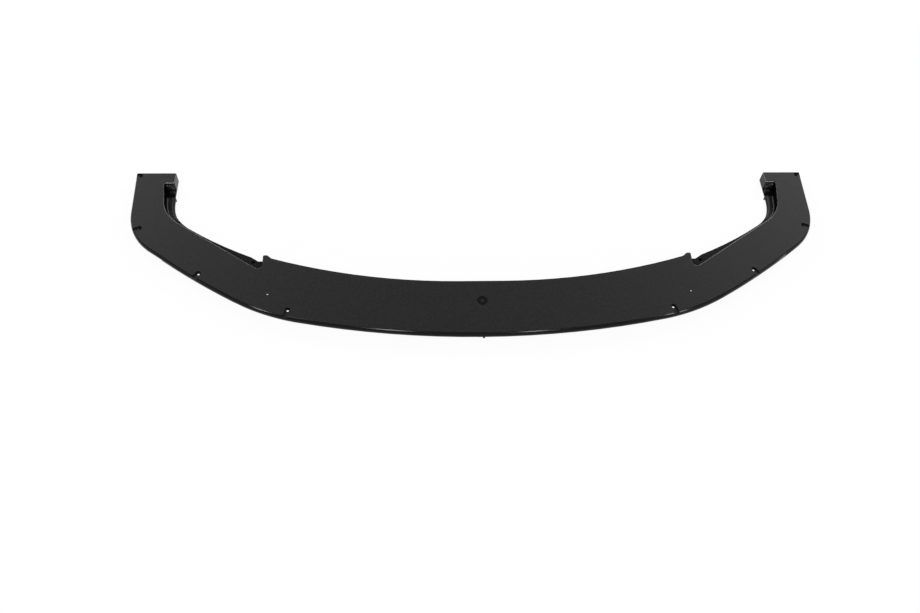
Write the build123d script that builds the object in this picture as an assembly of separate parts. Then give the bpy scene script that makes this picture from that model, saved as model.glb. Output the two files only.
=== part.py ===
import os
from math import asin, cos, degrees, radians, sin, tan

from build123d import *

# Front splitter lip of a car: one black plastic moulding, lying with its flat road side up.
# Millimetres and degrees. X runs across the car, +Y from the front edge back to the arm ends, Z up.
# It is drawn with the middle of the flat face's front edge at X = Y = 0, and centred at the end.

# Outer edge of the flat face, from the middle of the front round to the end of one arm
front_radius = 2230.0
front_turn_angle = 11.72
bend_radius = 524.0
bend_turn_angle = 18.56
flank_radius = 1955.0
flank_turn_angle = 8.19
shoulder_radius = 149.3
shoulder_turn_angle = 49.31
arm_length = 132.7

# Inner edge of the flat face
centre_depth = 150.8
rear_flat = 110.0
flank_width = 105.0
arm_width = 69.0
arm_taper_angle = 5.2
inner_corner_radius = 105.0
ear_width = 101.0
ear_length = 34.5
ear_corner_radius = 4.0
hook_half_span = 549.5
hook_height = 50.0
hook_top = 11.0
hook_slope_run = 14.0
hook_slope_drop = 12.5
hook_tip_radius = 4.0
notch_radius = 10.0

# Moulded section: flat face, round nose and the skin that slopes in to the resting edge
height = 32.0
wall = 3.5
nose_bulge = 4.6
nose_half_height = 11.0
nose_land = 8.0
skin_slope_angle = 45.0
nose_edge_radius = 1.8
inner_edge_radius = 3.0

# Sunk flange along the inner side of each arm: a screw tab at the hook, a narrow waist, then a ramp down
tab_depth = 8.0
tab_reach = 35.0
tab_end_length = 11.5
tab_corner_run = 18.5
tab_corner_rise = 13.0
flange_depth = 20.0
flange_waist = 4.5
flange_corner_radius = 115.0
flange_reach = 102.5
ramp_setback = 178.0
ramp_length = 68.0
tab_hole_diameter = 9.0
tab_hole_from_hook = 23.5
tab_hole_from_wall = 12.7
tab_sleeve_length = 21.0

# Deeper bay between the end of the flange and the ear
bay_setback = 69.0

# Screw pockets along the outer edge: share of the edge's length from the front, and distance in from it
pocket_shares = (0.4159, 0.6384, 0.8345, 0.9929)
pocket_insets = (17.7, 12.8, 14.5, 8.4)
pocket_width = 13.0
pocket_depth = 4.0
screw_hole_diameter = 6.5

# Small details of the flat face and the nose
pin_hole_share = 0.4744
pin_hole_inset = 44.9
pin_hole_diameter = 4.5
gate_setback = 91.8
gate_well_diameter = 26.0
gate_well_depth = 1.2
gate_stub_diameter = 9.0
gate_stub_height = 0.7
nub_diameter = 5.0
nub_depth = 16.0
nub_reach = 6.0

# Overlap that makes neighbouring bodies fuse, and spare length that is cut off at the arm ends
overlap = 2.0
spare_length = 12.0

UP = Vector(0, 0, 1)


def outer_edge(inset=0.0, overrun=0.0):
    """Edges of the right half's outer edge, moved in by inset and lengthened by overrun at the arm end."""
    front = JernArc((0, inset), (1, 0), front_radius - inset, front_turn_angle)
    bend = JernArc(front @ 1, front % 1, bend_radius - inset, bend_turn_angle)
    flank = JernArc(bend @ 1, bend % 1, flank_radius - inset, flank_turn_angle)
    shoulder = JernArc(flank @ 1, flank % 1, shoulder_radius - inset, shoulder_turn_angle)
    arm = Line(shoulder @ 1, shoulder @ 1 + (shoulder % 1) * (arm_length + overrun))
    return [front, bend, flank, shoulder, arm]


def left_of(direction):
    """Unit vector to the left of a direction, which is inwards along the outer edge."""
    return Vector(-direction.Y, direction.X)


def meet(point_a, along_a, point_b, along_b):
    """Point where two lines in the plan cross."""
    normal = left_of(along_b)
    return point_a + along_a * ((point_b - point_a).dot(normal) / along_a.dot(normal))


# Places that the inner edge and the flange are worked out from
edges = outer_edge()
outer_wire = Wire([edge.edge() for edge in edges])
flank_edge = edges[2]
arm_edge = edges[4]
arm_end = arm_edge @ 1
end_y = arm_end.Y
arm_along = arm_edge % 1
arm_inner_along = arm_along.rotate(Axis.Z, -arm_taper_angle)
flank_along = flank_edge % 0.5
arm_inner = arm_end + left_of(arm_along) * arm_width
flank_inner = flank_edge @ 0.5 + left_of(flank_along) * flank_width
across = Vector(1, 0)
back = Vector(0, 1)
ear_x = arm_end.X - ear_width
ear_y = end_y - ear_length
bay_y = end_y - bay_setback
ear_step = meet(arm_inner, arm_inner_along, Vector(ear_x, ear_y), across)
inner_corner = meet(arm_inner, arm_inner_along, flank_inner, flank_along)
notch_corner = meet(flank_inner, flank_along, Vector(hook_half_span, 0), back)
hook_y = notch_corner.Y + hook_height
hook_base = Vector(hook_half_span - hook_top - hook_slope_run, hook_y - hook_slope_drop)
tab_hole_x = hook_half_span + tab_hole_from_hook
tab_wall = meet(flank_inner, flank_along, Vector(tab_hole_x, 0), back)
tab_hole_y = tab_wall.Y + tab_hole_from_wall / flank_along.X


def inner_edge():
    """Inner edge of the flat face's right half, from past the arm end round the notch to the hook."""
    return FilletPolyline(
        (ear_x, end_y + spare_length),
        (ear_x, ear_y),
        ear_step,
        inner_corner,
        notch_corner,
        (hook_half_span, hook_y),
        (hook_half_span - hook_top, hook_y),
        hook_base,
        radius=[
            ear_corner_radius,
            ear_corner_radius,
            inner_corner_radius,
            notch_radius,
            hook_tip_radius,
            hook_top - hook_tip_radius,
        ],
    )


def plate_half():
    """Plan of the right half of the flat plate, inside the nose."""
    rim = outer_edge(nose_land / 2, spare_length)
    rim_end = rim[-1] @ 1
    inner = inner_edge()
    rear_start = Vector(rear_flat / 2, centre_depth)
    rear = TangentArc(rear_start, hook_base, tangent=across)
    middle = Polyline(rear_start, (0, centre_depth), (0, nose_land / 2))
    end = Line(rim_end, inner @ 0)
    pieces = [*rim, end, inner, rear, middle]
    return make_face([edge for piece in pieces for edge in piece.edges()])


def section_plane(edge):
    """Plane across the outer edge at the start of one of its pieces: x outwards, y up from the flat face."""
    along = edge % 0
    return Plane(origin=edge @ 0 + UP * height, x_dir=left_of(along) * -1, z_dir=along * -1)


def carried_round(section, overrun):
    """Right half of a section carried along the outer edge: turned about each arc's centre, then straight."""
    whole = Part()
    turns = (front_turn_angle, bend_turn_angle, flank_turn_angle, shoulder_turn_angle)
    for edge, turn in zip(edges, turns):
        centre = Axis(edge.center_point, UP)
        whole += revolve(section_plane(edge) * section, centre, turn)
    straight = extrude(section_plane(arm_edge) * section, -(arm_length + overrun))
    return whole + straight


# Nose section, with x outwards from the flat face's edge and y up from the flat face
nose_radius = (nose_bulge**2 + nose_half_height**2) / (2 * nose_bulge)
nose_centre = Vector(nose_bulge - nose_radius, -nose_half_height)
skin_drop = Vector(-sin(radians(skin_slope_angle)), -cos(radians(skin_slope_angle)))


def nose_curve(inset):
    """Round of the nose and its skin down to the resting edge, moved in by inset."""
    radius = nose_radius - inset
    top_angle = degrees(asin((nose_half_height - inset) / radius))
    top = nose_centre + Vector(cos(radians(top_angle)), sin(radians(top_angle))) * radius
    round_end = nose_centre + Vector(cos(radians(skin_slope_angle)), -sin(radians(skin_slope_angle))) * radius
    run = (height + round_end.Y) / cos(radians(skin_slope_angle))
    foot = round_end + skin_drop * run
    bulge = CenterArc(nose_centre, radius, top_angle, -top_angle - skin_slope_angle)
    return top, foot, [bulge.edge(), Line(round_end, foot).edge()]


def nose_section():
    """Hollow section of the nose: a strip of the flat plate, the round and the sloping skin."""
    top, foot, outside = nose_curve(0)
    inner_top, inner_foot, inside = nose_curve(wall)
    land = Polyline(inner_top, (-nose_land, -wall), (-nose_land, 0), top)
    face = make_face([*outside, Line(foot, inner_foot).edge(), *inside, *land.edges()])
    corner = face.vertices().sort_by_distance(top)[0]
    return fillet(corner, nose_edge_radius)


def nose_filled():
    """The same section filled in, to keep what is added behind the nose from showing outside it."""
    top, foot, outside = nose_curve(wall / 2)
    depth = ear_width / 2
    back_face = Polyline(foot, (foot.X - depth, foot.Y), (foot.X - depth, 0), (top.X, 0), top)
    return make_face([*outside, *back_face.edges()])


def down(face, top_depth, bottom_depth):
    """Solid under a plan face, between two depths below the flat face."""
    return extrude(Pos(0, 0, height - top_depth) * face, -(bottom_depth - top_depth))


def box_down(x_low, x_high, y_low, y_high, top_depth, bottom_depth):
    """Block between two plan corners and two depths below the flat face."""
    size = Rectangle(x_high - x_low, y_high - y_low, align=Align.MIN)
    return down(Pos(x_low, y_low) * size, top_depth, bottom_depth)


def flange_plan(plate):
    """Plan of the sunk flange and the bay, between the plate's inner edge and their free edges."""
    free_arm = arm_end + left_of(arm_along) * flange_reach
    free_flank = flank_inner + left_of(flank_along) * flange_waist
    free_corner = meet(free_arm, arm_along, free_flank, flank_along)
    turn = flank_along.get_angle(arm_along)
    waist = free_corner - flank_along * (flange_corner_radius * tan(radians(turn / 2)))
    corner = JernArc(waist, flank_along, flange_corner_radius, turn)
    arm_top = meet(free_arm, arm_along, Vector(0, bay_y), across)
    hook_x = hook_half_span - overlap
    tab_end = Vector(hook_half_span + tab_end_length, notch_corner.Y + tab_reach)
    sweep_end = tab_end + Vector(tab_corner_run, tab_corner_rise)
    sweep = TangentArc(waist, sweep_end, tangent=flank_along * -1)
    rest = Polyline(
        corner @ 1,
        arm_top,
        (ear_x, bay_y),
        (ear_x, ear_y + overlap),
        ear_step + across * wall + back * overlap,
        inner_corner + across * wall,
        notch_corner - back * wall,
        (hook_x, notch_corner.Y - wall),
        (hook_x, tab_end.Y),
        tab_end,
        sweep_end,
    )
    return make_face([sweep.edge(), corner.edge(), *rest.edges()]) - plate


def above_flange(extra):
    """Space over the surface of the flange and the bay, or over a surface that lies deeper by extra."""
    tab = height - tab_depth - extra
    low = height - flange_depth - extra
    floor = wall - extra
    start = end_y - ramp_setback
    middle = start + ramp_length / 2
    end = start + ramp_length
    step = bay_y - extra
    ramp = Bezier((start, tab), (middle, tab), (middle, low), (end, low))
    rest = Polyline(
        (end, low),
        (step, low),
        (step, floor),
        (end_y, floor),
        (end_y, height),
        (0, height),
        (0, tab),
        (start, tab),
    )
    return extrude(Plane.YZ * make_face([*ramp.edges(), *rest.edges()]), arm_end.X)


def sunk_flange(plate):
    """Wall along the plate's inner edge, sunk flange and bay of the right arm, with the screw tab's sleeve."""
    plan = flange_plan(plate)
    above_bottom = above_flange(wall)
    strip = offset(plan, wall) & plate
    upper_wall = down(strip, 0, height) & above_bottom
    flange = down(plan, 0, height) & (above_bottom - above_flange(0))
    sleeve_place = Pos(tab_hole_x, tab_hole_y)
    sleeve = down(sleeve_place * Circle(tab_hole_diameter / 2 + wall), tab_depth, tab_depth + tab_sleeve_length)
    return upper_wall + flange + sleeve


def ear_walls():
    """Walls under the ear at the arm end: one along its inner side and one across its front."""
    side = box_down(ear_x, ear_x + wall, ear_y, end_y, 0, height)
    front = box_down(ear_x, ear_step.X + wall, ear_y, ear_y + wall, 0, height)
    return side + front


def end_wall(filled):
    """Wall that closes the arm end, from the ear out to the inside of the nose."""
    middle_x = arm_end.X - ear_width / 2
    inner = box_down(ear_x, middle_x + overlap, end_y - wall, end_y, 0, height)
    outer = box_down(middle_x, arm_end.X + spare_length, end_y - wall, end_y, 0, height)
    return inner + (outer & filled)


def edge_plane(share, inset):
    """Plane on the flat face, at a share of the outer edge's length and a distance in from it, x outwards."""
    outwards = left_of(outer_wire.tangent_at(share)) * -1
    point = outer_wire.position_at(share) - outwards * inset
    return Plane(origin=point + UP * height, x_dir=outwards, z_dir=UP)


def pocket_shape(half_width, reach):
    """Round-ended slot from a screw hole outwards."""
    return Circle(half_width) + Rectangle(reach, 2 * half_width, align=(Align.MIN, Align.CENTER))


def rounded_edges(half):
    """Edges of the flat face along its inner edge, from the ear round the notch to the hook."""
    line = Pos(0, 0, height) * Wire(inner_edge().edges())
    level = half.edges().filter_by_position(Axis.Z, height, height)
    return [edge for edge in level if line.distance_to(edge @ 0.5) < overlap / 100]


def right_half():
    """Right half of the lip with all its cuts."""
    plate = plate_half()
    nose = carried_round(nose_section(), spare_length)
    filled = carried_round(nose_filled(), spare_length)
    half = down(plate, 0, wall) + nose + sunk_flange(plate) + ear_walls() + end_wall(filled)
    for share, inset in zip(pocket_shares, pocket_insets):
        place = edge_plane(share, inset)
        boss = extrude(place * pocket_shape(pocket_width / 2 + wall, inset + overlap), -(pocket_depth + wall))
        half += boss & filled
    for share, inset in zip(pocket_shares, pocket_insets):
        place = edge_plane(share, inset)
        reach = inset + 2 * nose_bulge + overlap
        half -= extrude(place * pocket_shape(pocket_width / 2, reach), -pocket_depth)
        half -= extrude(place * Circle(screw_hole_diameter / 2), -(pocket_depth + 2 * wall))
    half -= extrude(edge_plane(pin_hole_share, pin_hole_inset) * Circle(pin_hole_diameter / 2), -2 * wall)
    half -= down(Pos(tab_hole_x, tab_hole_y) * Circle(tab_hole_diameter / 2), 0, height)
    past_end = Rectangle(2 * (arm_end.X + spare_length), 2 * spare_length, align=(Align.CENTER, Align.MIN))
    half -= down(Pos(0, end_y) * past_end, -overlap, height + overlap)
    return fillet(rounded_edges(half), inner_edge_radius)


def gate_mark():
    """Round moulding gate: a shallow well in the flat face, and the stub left standing in it."""
    well = down(Pos(0, gate_setback) * Circle(gate_well_diameter / 2), 0, gate_well_depth)
    stub_top = gate_well_depth - gate_stub_height
    stub = down(Pos(0, gate_setback) * Circle(gate_stub_diameter / 2), stub_top, gate_well_depth)
    return well - stub


def front_nub():
    """Small round nub on the middle of the nose."""
    place = Plane(origin=(0, wall / 2, height - nub_depth), z_dir=(0, -1, 0))
    return extrude(place * Circle(nub_diameter / 2), nub_reach + wall / 2)


def splitter_lip():
    """The whole lip, centred over its resting edges."""
    half = right_half()
    whole = half + mirror(half, about=Plane.YZ)
    whole = whole - gate_mark() + front_nub()
    front = max(nose_bulge, nub_reach)
    return Pos(0, (front - end_y) / 2, 0) * whole


lip = splitter_lip()
os.makedirs("parts", exist_ok=True)
export_step(lip, "parts/splitter_lip.step")
box = lip.bounding_box()
print("solids", len(lip.solids()), "size", box.size, "low", box.min, "volume", round(lip.volume))
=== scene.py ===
import math

import bmesh
import bpy
from mathutils import Matrix, Vector
from mathutils.bvhtree import BVHTree


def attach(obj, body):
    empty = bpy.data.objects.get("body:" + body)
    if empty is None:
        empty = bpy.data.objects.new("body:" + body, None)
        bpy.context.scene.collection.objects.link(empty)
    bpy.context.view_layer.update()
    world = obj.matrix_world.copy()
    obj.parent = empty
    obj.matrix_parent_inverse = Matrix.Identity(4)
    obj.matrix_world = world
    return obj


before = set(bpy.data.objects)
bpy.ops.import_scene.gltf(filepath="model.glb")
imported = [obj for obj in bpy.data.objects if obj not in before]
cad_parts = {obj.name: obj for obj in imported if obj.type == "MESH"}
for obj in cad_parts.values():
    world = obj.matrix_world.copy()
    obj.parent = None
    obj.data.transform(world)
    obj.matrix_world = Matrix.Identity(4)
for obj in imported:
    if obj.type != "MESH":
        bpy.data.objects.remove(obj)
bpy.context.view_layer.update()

# Places on the lip that the material refers to, in metres
FACE_HEIGHT = 0.032
RECESS_START = 0.1
RECESS_FADE = 0.01
INNER_SIDE = 0.4

# Bands of depth under the flat face: deep and shallow limit in metres
FACE_BAND = (0.0060, 0.0055)
WELL_TOP_BAND = (0.0009, 0.0006)
WELL_FLOOR_BAND = (0.0020, 0.0016)
RIM_BAND = (0.0036, 0.0030)

# Bands of the surface's direction: its upward part, its backward part, and how far it turns outward
LEVEL_BAND = (0.95, 0.995)
LYING_BAND = (0.90, 0.97)
SLOPING_BAND = (0.95, 0.99)
EAR_WALL_BAND = (-0.97, -0.90)
EAR_RIM_BAND = (-0.25, -0.15)
OUTWARD_BAND = (-0.02, 0.0)

# End values of a step across a band, and the sockets of a mix: share, first, second and result
RISE = (0, 1)
FALL = (1, 0)
MIX_SOCKETS = {"FLOAT": (0, 2, 3, 0), "RGBA": (0, 6, 7, 2)}

# Black plastic: colours, painted shade in the recesses, painted light on the ear walls, roughness, gloss
# and grain
FACE_DARK = (0.005, 0.005, 0.0052, 1)
FACE_LIGHT = (0.013, 0.013, 0.0132, 1)
MOULDING_LIGHT = (0.012, 0.012, 0.0122, 1)
# Painted shade: the recess floors get a darker base than the flat face
RECESS_PAINTED_SHADE = (0.006, 0.006, 0.0062, 1)
# Painted light: the ear's front walls get a lighter base than the recess, standing in for light from the
# front
EAR_WALL_PAINTED_LIGHT = (0.035, 0.035, 0.0357, 1)
NOSE_COLOUR = (0.002, 0.002, 0.0022, 1)
FACE_ROUGHNESS = (0.46, 0.58)
MOULDING_ROUGHNESS = (0.40, 0.52)
NOSE_ROUGHNESS = 0.14
EDGE_ROUGHNESS = 0.16
FACE_GLOSS = 0.11
RECESS_GLOSS = 0.04
NOSE_GLOSS = 0.10
EDGE_GLOSS = 0.45
BEAD_GLOSS = 0.36
LAND_GLOSS = 0.085
FACE_GRAIN = {"Scale": 700.0, "Detail": 3.0, "Roughness": 0.65}
MOULDING_GRAIN = {"Scale": 700.0, "Detail": 3.0}
MOTTLE = {"Scale": 230.0, "Detail": 2.0}
SPECK_BAND = (0.32, 0.68)
BUMP_STRENGTH = 0.35
BUMP_DEPTH = 0.0004

# Bead beside the wall and land along the free edge of each arm's recess, in metres.
# Sides are shares of the way across from the wall to the free edge, here and below.
RECESS_TOP_Y = 0.1878
RECESS_LOW_Y = 0.098
RECESS_STATIONS = 40
BEAD_SIDES = (0.08, 0.27)
BEAD_HEIGHT = 0.002
LAND_SIDES = (0.62, 0.99)
LAND_HEIGHT = 0.002
ROUND_STEPS = 6
FLAT_SIDES = 3
END_FACES = 2
SINK = 0.0003

# Lug in the bay in front of each ear, in metres
LUG_SIDES = (0.42, 0.96)
LUG_Y = 0.209
LUG_DEPTH = 0.009
LUG_TOP = 0.014
LUG_ROUND = 0.002

# Rib and brace on the front wall of each ear: ends as share across and height, sizes in metres
RIB_ENDS = ((0.25, 0.0272), (0.25, 0.0120))
BRACE_ENDS = ((0.42, 0.0270), (0.84, 0.0130))
RIB_WIDTH = 0.004
RIB_DEPTH = 0.007
RIB_ROUND = 0.001
BEVEL_SEGMENTS = 4
BEVEL_PROFILE = 0.5

# Sight lines that find the recess's wall, floor and free edge, in metres
SIGHT_X = 0.70
WALL_SIGHT_DEPTH = 0.005
FLOOR_SIGHT_REACH = 0.004
EDGE_SIGHT_DEPTH = 0.0015

# Camera: place in metres, angles in degrees, lens and sensor in millimetres
CAMERA_PLACE = Vector((-0.1724, -1.3694, 1.8778))
CAMERA_DOWN = 57.0
CAMERA_YAW = 5.568
CAMERA_ROLL = 4.122
CAMERA_LENS = 35.0
CAMERA_SENSOR = 36.0

# Floor and surroundings
FLOOR_SIZE = 40.0
FLOOR_COLOUR = (0.93, 0.93, 0.93, 1.0)
FLOOR_ROUGHNESS = 0.9
FLOOR_GLOSS = 0.0
FLOOR_WHITE_SHARE = 0.94
WORLD_COLOUR = (1.0, 1.0, 1.0, 1.0)
WORLD_STRENGTH = 0.2
WHITE_STRENGTH = 1.0

# Lamps: name, place, point aimed at, width, depth, power
LAMPS = (
    ("rear_left", (-2.5, 2.6, 2.0), (-0.5, 0.1, 0.0), 1.7, 1.2, 64.0),
    ("rear_right", (2.7, 2.5, 2.0), (0.5, 0.1, 0.0), 1.7, 1.2, 76.0),
    ("rear_strip", (0.0, 3.4, 0.95), (0.0, 0.1, 0.0), 6.0, 0.35, 50.0),
    ("front_left", (-0.95, -4.15, 0.95), (-0.2, -0.2, 0.0), 0.35, 0.65, 30.0),
    ("front_right", (1.05, -4.3, 1.06), (0.2, -0.2, 0.0), 0.25, 0.65, 24.0),
    ("side_left", (-3.4, -3.2, 0.95), (-0.55, -0.2, 0.0), 0.5, 0.6, 32.0),
    ("side_right", (3.15, -3.44, 0.74), (0.55, -0.2, 0.0), 0.8, 0.6, 42.0),
    ("high_left", (-1.78, -1.9, 2.75), (-1.78, 0.2, 0.0), 0.3, 2.6, 44.0),
    ("high_right", (2.27, -1.8, 2.75), (2.27, 0.2, 0.0), 0.3, 2.6, 34.0),
)


def new_material(name):
    """New material with its node tree and its shader."""
    material = bpy.data.materials.new(name)
    material.use_nodes = True
    tree = material.node_tree
    return material, tree, tree.nodes["Principled BSDF"]


def add_node(tree, kind, **settings):
    """New shader node with its settings."""
    made = tree.nodes.new(kind)
    for name, value in settings.items():
        setattr(made, name, value)
    return made


def smooth_step(tree, source, band, ends):
    """Smooth step of a value across a band, from one end value to the other."""
    step = add_node(tree, "ShaderNodeMapRange", interpolation_type="SMOOTHSTEP", clamp=True)
    for name, value in zip(("From Min", "From Max", "To Min", "To Max"), (*band, *ends)):
        step.inputs[name].default_value = value
    tree.links.new(source, step.inputs["Value"])
    return step.outputs["Result"]


def depth_step(tree, height, band, ends):
    """Smooth step across a band of depth under the flat face."""
    return smooth_step(tree, height, [FACE_HEIGHT - depth for depth in band], ends)


def combine(tree, operation, first, second):
    """One value from two by a plain operation."""
    made = add_node(tree, "ShaderNodeMath", operation=operation)
    tree.links.new(first, made.inputs[0])
    tree.links.new(second, made.inputs[1])
    return made.outputs[0]


def mix(tree, kind, share, first, second):
    """Mix of two numbers or two colours by a share from 0 to 1."""
    made = add_node(tree, "ShaderNodeMix", data_type=kind)
    *sockets, result = MIX_SOCKETS[kind]
    for value, socket in zip((share, first, second), sockets):
        if isinstance(value, bpy.types.NodeSocket):
            tree.links.new(value, made.inputs[socket])
        else:
            made.inputs[socket].default_value = value
    return made.outputs[result]


def add_noise(tree, place, values):
    """Fine pattern over the surface."""
    made = add_node(tree, "ShaderNodeTexNoise")
    for name, value in values.items():
        made.inputs[name].default_value = value
    tree.links.new(place, made.inputs["Vector"])
    return made.outputs["Fac"]


def add_bump(tree, shader, height):
    """Grain that roughens the surface."""
    bump = add_node(tree, "ShaderNodeBump")
    bump.inputs["Strength"].default_value = BUMP_STRENGTH
    bump.inputs["Distance"].default_value = BUMP_DEPTH
    tree.links.new(height, bump.inputs["Height"])
    tree.links.new(bump.outputs["Normal"], shader.inputs["Normal"])


def finish_shares(tree, surface):
    """Shares of the flat face, the recesses, the ear walls (which get painted light) and the bright inner
    edges at a point.
    """
    point = add_node(tree, "ShaderNodeSeparateXYZ")
    facing = add_node(tree, "ShaderNodeSeparateXYZ")
    tree.links.new(surface.outputs["Object"], point.inputs[0])
    tree.links.new(surface.outputs["Normal"], facing.inputs[0])
    height = point.outputs["Z"]
    upward = facing.outputs["Z"]
    backward = facing.outputs["Y"]

    top = depth_step(tree, height, FACE_BAND, RISE)
    level = smooth_step(tree, upward, LEVEL_BAND, RISE)
    level_top = combine(tree, "MULTIPLY", top, level)
    above_well = depth_step(tree, height, WELL_TOP_BAND, RISE)
    below_well = depth_step(tree, height, WELL_FLOOR_BAND, FALL)
    off_well = combine(tree, "MAXIMUM", above_well, below_well)
    on_face = combine(tree, "MULTIPLY", level_top, off_well)

    low = depth_step(tree, height, FACE_BAND, FALL)
    lying = smooth_step(tree, upward, LYING_BAND, RISE)
    # Ear front walls: this share also places the painted light on them
    ear_front = smooth_step(tree, backward, EAR_WALL_BAND, FALL)
    behind = smooth_step(tree, point.outputs["Y"], (RECESS_START, RECESS_START + RECESS_FADE), RISE)
    ear_wall = combine(tree, "MULTIPLY", ear_front, behind)
    inside = combine(tree, "MAXIMUM", lying, ear_wall)
    in_recess = combine(tree, "MULTIPLY", inside, low)

    outward = add_node(tree, "ShaderNodeVectorMath", operation="SUBTRACT")
    outward.inputs[1].default_value = (0, INNER_SIDE, FACE_HEIGHT)
    tree.links.new(surface.outputs["Object"], outward.inputs[0])
    turned = add_node(tree, "ShaderNodeVectorMath", operation="DOT_PRODUCT")
    tree.links.new(outward.outputs["Vector"], turned.inputs[0])
    tree.links.new(surface.outputs["Normal"], turned.inputs[1])
    inner = smooth_step(tree, turned.outputs["Value"], OUTWARD_BAND, FALL)
    ear_rim = smooth_step(tree, backward, EAR_RIM_BAND, FALL)
    ear_edge = combine(tree, "MULTIPLY", ear_rim, behind)
    sides = combine(tree, "MAXIMUM", inner, ear_edge)
    rim = depth_step(tree, height, RIM_BAND, RISE)
    sloping = smooth_step(tree, upward, SLOPING_BAND, FALL)
    upper = combine(tree, "MULTIPLY", rim, sloping)
    bright_edge = combine(tree, "MULTIPLY", sides, upper)
    return on_face, in_recess, ear_wall, bright_edge


def black_plastic():
    """Black moulded plastic: matte grain on the flat face and in the recesses, gloss on nose and edges,
    painted shade darkening the recess floors and painted light brightening the ear walls.
    """
    material, tree, shader = new_material("black_plastic")
    surface = add_node(tree, "ShaderNodeTexCoord")
    place = surface.outputs["Object"]
    on_face, in_recess, ear_wall, bright_edge = finish_shares(tree, surface)
    matte = combine(tree, "MAXIMUM", on_face, in_recess)
    grain = add_noise(tree, place, FACE_GRAIN)
    mottle = add_noise(tree, place, MOTTLE)
    both = mix(tree, "FLOAT", mottle, grain, mottle)
    speck = smooth_step(tree, both, SPECK_BAND, RISE)

    face_colour = mix(tree, "RGBA", speck, FACE_DARK, FACE_LIGHT)
    # Painted shade darkens the recess floors, and painted light brightens the ear's front walls
    recess_shade_and_ear_light = mix(tree, "RGBA", ear_wall, RECESS_PAINTED_SHADE, EAR_WALL_PAINTED_LIGHT)
    matte_colour = mix(tree, "RGBA", in_recess, face_colour, recess_shade_and_ear_light)
    colour = mix(tree, "RGBA", matte, NOSE_COLOUR, matte_colour)
    tree.links.new(colour, shader.inputs["Base Color"])

    matte_rough = mix(tree, "FLOAT", speck, *FACE_ROUGHNESS)
    shine_rough = mix(tree, "FLOAT", bright_edge, NOSE_ROUGHNESS, EDGE_ROUGHNESS)
    rough = mix(tree, "FLOAT", matte, shine_rough, matte_rough)
    tree.links.new(rough, shader.inputs["Roughness"])

    matte_gloss = mix(tree, "FLOAT", in_recess, FACE_GLOSS, RECESS_GLOSS)
    shine_gloss = mix(tree, "FLOAT", bright_edge, NOSE_GLOSS, EDGE_GLOSS)
    gloss = mix(tree, "FLOAT", matte, shine_gloss, matte_gloss)
    tree.links.new(gloss, shader.inputs["Specular IOR Level"])

    add_bump(tree, shader, combine(tree, "MULTIPLY", grain, matte))
    return material


def matte_plastic(name, gloss):
    """Black moulded plastic with a fine matte grain all over."""
    material, tree, shader = new_material(name)
    shader.inputs["Specular IOR Level"].default_value = gloss
    surface = add_node(tree, "ShaderNodeTexCoord")
    grain = add_noise(tree, surface.outputs["Object"], MOULDING_GRAIN)
    speck = smooth_step(tree, grain, SPECK_BAND, RISE)
    colour = mix(tree, "RGBA", speck, FACE_DARK, MOULDING_LIGHT)
    tree.links.new(colour, shader.inputs["Base Color"])
    rough = mix(tree, "FLOAT", speck, *MOULDING_ROUGHNESS)
    tree.links.new(rough, shader.inputs["Roughness"])
    add_bump(tree, shader, grain)
    return material


def recess_at(surface, side, y):
    """Wall, free edge and floor height across one arm's recess at a distance back."""
    across = Vector((side, 0, 0))
    wall = surface.ray_cast(Vector((side * SIGHT_X, y, FACE_HEIGHT - WALL_SIGHT_DEPTH)), across)[0]
    floor = surface.ray_cast(wall - across * FLOOR_SIGHT_REACH, Vector((0, 0, -1)))[0]
    free = surface.ray_cast(Vector((side * SIGHT_X, y, floor.z - EDGE_SIGHT_DEPTH)), across)[0]
    return wall.x, free.x, floor.z


def part_way(wall, free, share):
    """Place at a share of the way from the wall to the free edge."""
    return wall + (free - wall) * share


def add_piece(name, mesh, material):
    """Piece of the lip from a mesh and a material."""
    mesh.materials.append(material)
    piece = bpy.data.objects.new(name, mesh)
    bpy.context.scene.collection.objects.link(piece)
    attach(piece, "root")


def moulding_section(wall, free, floor, sides, height):
    """Round-topped section between two shares of the way across, as (x, z) points."""
    near, far = (part_way(wall, free, share) for share in sides)
    radius = min(height, abs(far - near) / 2)
    way = math.copysign(radius, far - near)
    turns = [math.pi / 2 * k / ROUND_STEPS for k in range(ROUND_STEPS + 1)]
    profile = [(way * (1 - math.cos(turn)), floor + height * math.sin(turn)) for turn in turns]
    rise = [(near + run, z) for run, z in profile]
    fall = [(far - run, z) for run, z in reversed(profile)]
    return rise + fall + [(far, floor - SINK), (near, floor - SINK)]


def recess_strip(surface, name, side, sides, height, material):
    """Closed strip along one arm's recess, fitted to its wall, free edge and floor at each station."""
    shares = [k / RECESS_STATIONS for k in range(RECESS_STATIONS + 1)]
    stations = [RECESS_TOP_Y + (RECESS_LOW_Y - RECESS_TOP_Y) * share for share in shares]
    sections = [moulding_section(*recess_at(surface, side, y), sides, height) for y in stations]
    points = [(x, y, z) for y, section in zip(stations, sections) for x, z in section]
    count = len(sections[0])
    faces = []
    for low in range(0, RECESS_STATIONS * count, count):
        for k in range(count):
            after = (k + 1) % count
            faces.append((low + k, low + after, low + count + after, low + count + k))
    faces.append(tuple(reversed(range(count))))
    faces.append(tuple(range(RECESS_STATIONS * count, RECESS_STATIONS * count + count)))
    mesh = bpy.data.meshes.new(name)
    mesh.from_pydata(points, [], faces)
    shape = bmesh.new()
    shape.from_mesh(mesh)
    bmesh.ops.recalc_face_normals(shape, faces=shape.faces)
    shape.to_mesh(mesh)
    shape.free()
    for polygon in mesh.polygons[:-END_FACES]:
        polygon.use_smooth = polygon.index % count < count - FLAT_SIDES
    add_piece(name, mesh, material)


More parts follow.
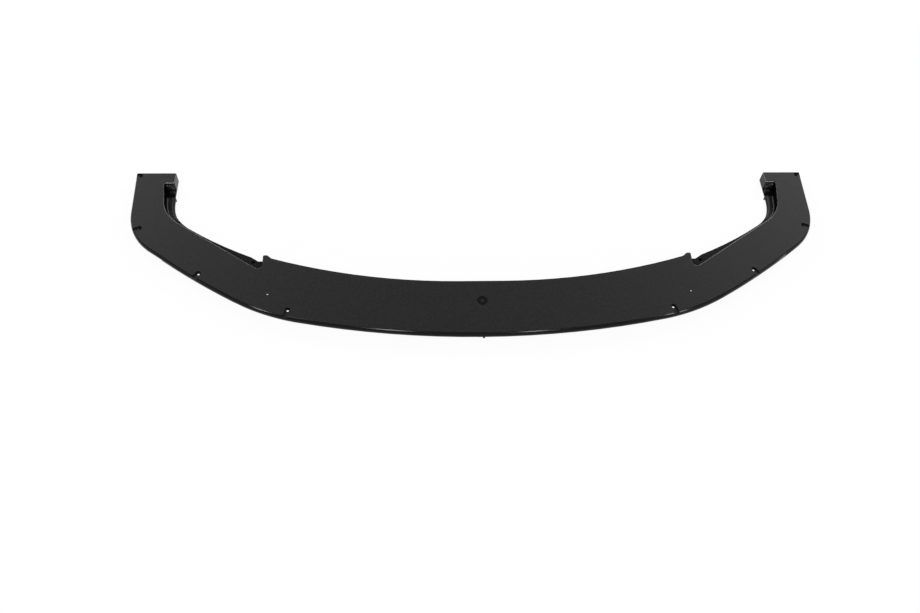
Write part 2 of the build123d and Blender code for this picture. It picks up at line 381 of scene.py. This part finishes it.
def round_block(name, place, is_rounded, radius, material):
    """Block with rounded edges at the corners that a test picks."""
    shape = bmesh.new()
    bmesh.ops.create_cube(shape, size=1, matrix=place)
    chosen = [edge for edge in shape.edges if any(is_rounded(corner.co) for corner in edge.verts)]
    bmesh.ops.bevel(
        shape,
        geom=chosen,
        offset=radius,
        segments=BEVEL_SEGMENTS,
        profile=BEVEL_PROFILE,
        affect="EDGES",
    )
    mesh = bpy.data.meshes.new(name)
    shape.to_mesh(mesh)
    shape.free()
    add_piece(name, mesh, material)


def ear_lug(surface, name, side, material):
    """Lug with a rounded top on the floor of the bay in front of one ear."""
    wall, free, floor = recess_at(surface, side, LUG_Y)
    near, far = (part_way(wall, free, share) for share in LUG_SIDES)
    bottom = floor - SINK
    size = Vector((abs(far - near), LUG_DEPTH, LUG_TOP - bottom))
    centre = Vector(((near + far) / 2, LUG_Y, (LUG_TOP + bottom) / 2))
    place = Matrix.LocRotScale(centre, None, size)
    round_block(name, place, lambda corner: corner.z > centre.z, LUG_ROUND, material)


def ear_rib(surface, name, side, ends, material):
    """Rib with a rounded front on the front wall of one ear."""
    wall, free, _ = recess_at(surface, side, LUG_Y)
    first, last = (Vector((part_way(wall, free, share), LUG_Y, height)) for share, height in ends)
    centre = (first + last) / 2
    inward = Vector((0, 1, 0))
    back = surface.ray_cast(centre, inward)[0].y + SINK
    centre.y = back - RIB_DEPTH / 2
    along = (last - first).normalized()
    turn = Matrix((along, inward, along.cross(inward))).transposed()
    size = Vector(((last - first).length, RIB_DEPTH, RIB_WIDTH))
    place = Matrix.LocRotScale(centre, turn, size)
    round_block(name, place, lambda corner: corner.y < centre.y, RIB_ROUND, material)


def make_recess_mouldings(lip):
    """Beads, lands, lugs, ribs and braces in the recesses of both arms."""
    surface = BVHTree.FromPolygons(
        [vertex.co for vertex in lip.data.vertices],
        [polygon.vertices for polygon in lip.data.polygons],
    )
    bead_plastic = matte_plastic("bead_plastic", BEAD_GLOSS)
    land_plastic = matte_plastic("land_plastic", LAND_GLOSS)
    for hand, side in (("left", -1), ("right", 1)):
        recess_strip(surface, "wall_bead_" + hand, side, BEAD_SIDES, BEAD_HEIGHT, bead_plastic)
        recess_strip(surface, "edge_land_" + hand, side, LAND_SIDES, LAND_HEIGHT, land_plastic)
        ear_lug(surface, "ear_lug_" + hand, side, land_plastic)
        ear_rib(surface, "ear_rib_" + hand, side, RIB_ENDS, bead_plastic)
        ear_rib(surface, "ear_brace_" + hand, side, BRACE_ENDS, bead_plastic)


def seen_directly(tree):
    """1 for what the camera sees straight on, in gloss or through glass, and 0 for other light."""
    path = add_node(tree, "ShaderNodeLightPath")
    seen = combine(tree, "ADD", path.outputs["Is Camera Ray"], path.outputs["Is Glossy Ray"])
    total = combine(tree, "ADD", seen, path.outputs["Is Transmission Ray"])
    total.node.use_clamp = True
    return total


def floor_material():
    """Pale floor that keeps the lip's shadow and shows white to the camera and in gloss."""
    material, tree, shader = new_material("pale_floor")
    shader.inputs["Base Color"].default_value = FLOOR_COLOUR
    shader.inputs["Roughness"].default_value = FLOOR_ROUGHNESS
    shader.inputs["Specular IOR Level"].default_value = FLOOR_GLOSS
    white = add_node(tree, "ShaderNodeEmission")
    white.inputs["Strength"].default_value = WHITE_STRENGTH
    share = add_node(tree, "ShaderNodeMath", operation="MULTIPLY")
    share.inputs[1].default_value = FLOOR_WHITE_SHARE
    tree.links.new(seen_directly(tree), share.inputs[0])
    blend = add_node(tree, "ShaderNodeMixShader")
    tree.links.new(share.outputs[0], blend.inputs[0])
    tree.links.new(shader.outputs[0], blend.inputs[1])
    tree.links.new(white.outputs[0], blend.inputs[2])
    tree.links.new(blend.outputs[0], tree.nodes["Material Output"].inputs["Surface"])
    return material


def make_floor():
    """Wide floor under the lip."""
    half = FLOOR_SIZE / 2
    corners = [(-half, -half, 0), (half, -half, 0), (half, half, 0), (-half, half, 0)]
    mesh = bpy.data.meshes.new("floor")
    mesh.from_pydata(corners, [], [(0, 1, 2, 3)])
    mesh.materials.append(floor_material())
    floor = bpy.data.objects.new("floor", mesh)
    bpy.context.scene.collection.objects.link(floor)


def make_world():
    """Even white surroundings, plain white where the camera sees them and in gloss."""
    world = bpy.data.worlds.new("surroundings")
    bpy.context.scene.world = world
    world.use_nodes = True
    tree = world.node_tree
    back = tree.nodes["Background"]
    back.inputs["Color"].default_value = WORLD_COLOUR
    level = smooth_step(tree, seen_directly(tree), RISE, (WORLD_STRENGTH, WHITE_STRENGTH))
    tree.links.new(level, back.inputs["Strength"])


def make_lamp(name, place, target, width, depth, power):
    """Soft rectangular lamp aimed at a point."""
    data = bpy.data.lights.new(name, "AREA")
    data.shape = "RECTANGLE"
    data.size = width
    data.size_y = depth
    data.energy = power
    lamp = bpy.data.objects.new(name, data)
    lamp.location = place
    aim = Vector(target) - Vector(place)
    lamp.rotation_mode = "QUATERNION"
    lamp.rotation_quaternion = aim.to_track_quat("-Z", "Y")
    bpy.context.scene.collection.objects.link(lamp)


def make_camera():
    """Camera above the front, turned a little and rolled."""
    down = math.radians(CAMERA_DOWN)
    yaw = math.radians(CAMERA_YAW)
    roll = math.radians(CAMERA_ROLL)
    ahead = Vector((math.sin(yaw) * math.cos(down), math.cos(yaw) * math.cos(down), -math.sin(down)))
    right = Vector((math.cos(yaw), -math.sin(yaw), 0))
    up = right.cross(ahead)
    across = right * math.cos(roll) + up * math.sin(roll)
    above = up * math.cos(roll) - right * math.sin(roll)
    turn = Matrix((across, above, -ahead)).transposed()
    data = bpy.data.cameras.new("camera")
    data.sensor_width = CAMERA_SENSOR
    data.lens = CAMERA_LENS
    camera = bpy.data.objects.new("camera", data)
    camera.matrix_world = Matrix.Translation(CAMERA_PLACE) @ turn.to_4x4()
    bpy.context.scene.collection.objects.link(camera)
    bpy.context.scene.camera = camera


bpy.context.scene.view_settings.view_transform = "Standard"
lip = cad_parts["splitter_lip"]
lip.data.materials.clear()
lip.data.materials.append(black_plastic())
make_recess_mouldings(lip)
make_floor()
make_world()
for lamp in LAMPS:
    make_lamp(*lamp)
make_camera()
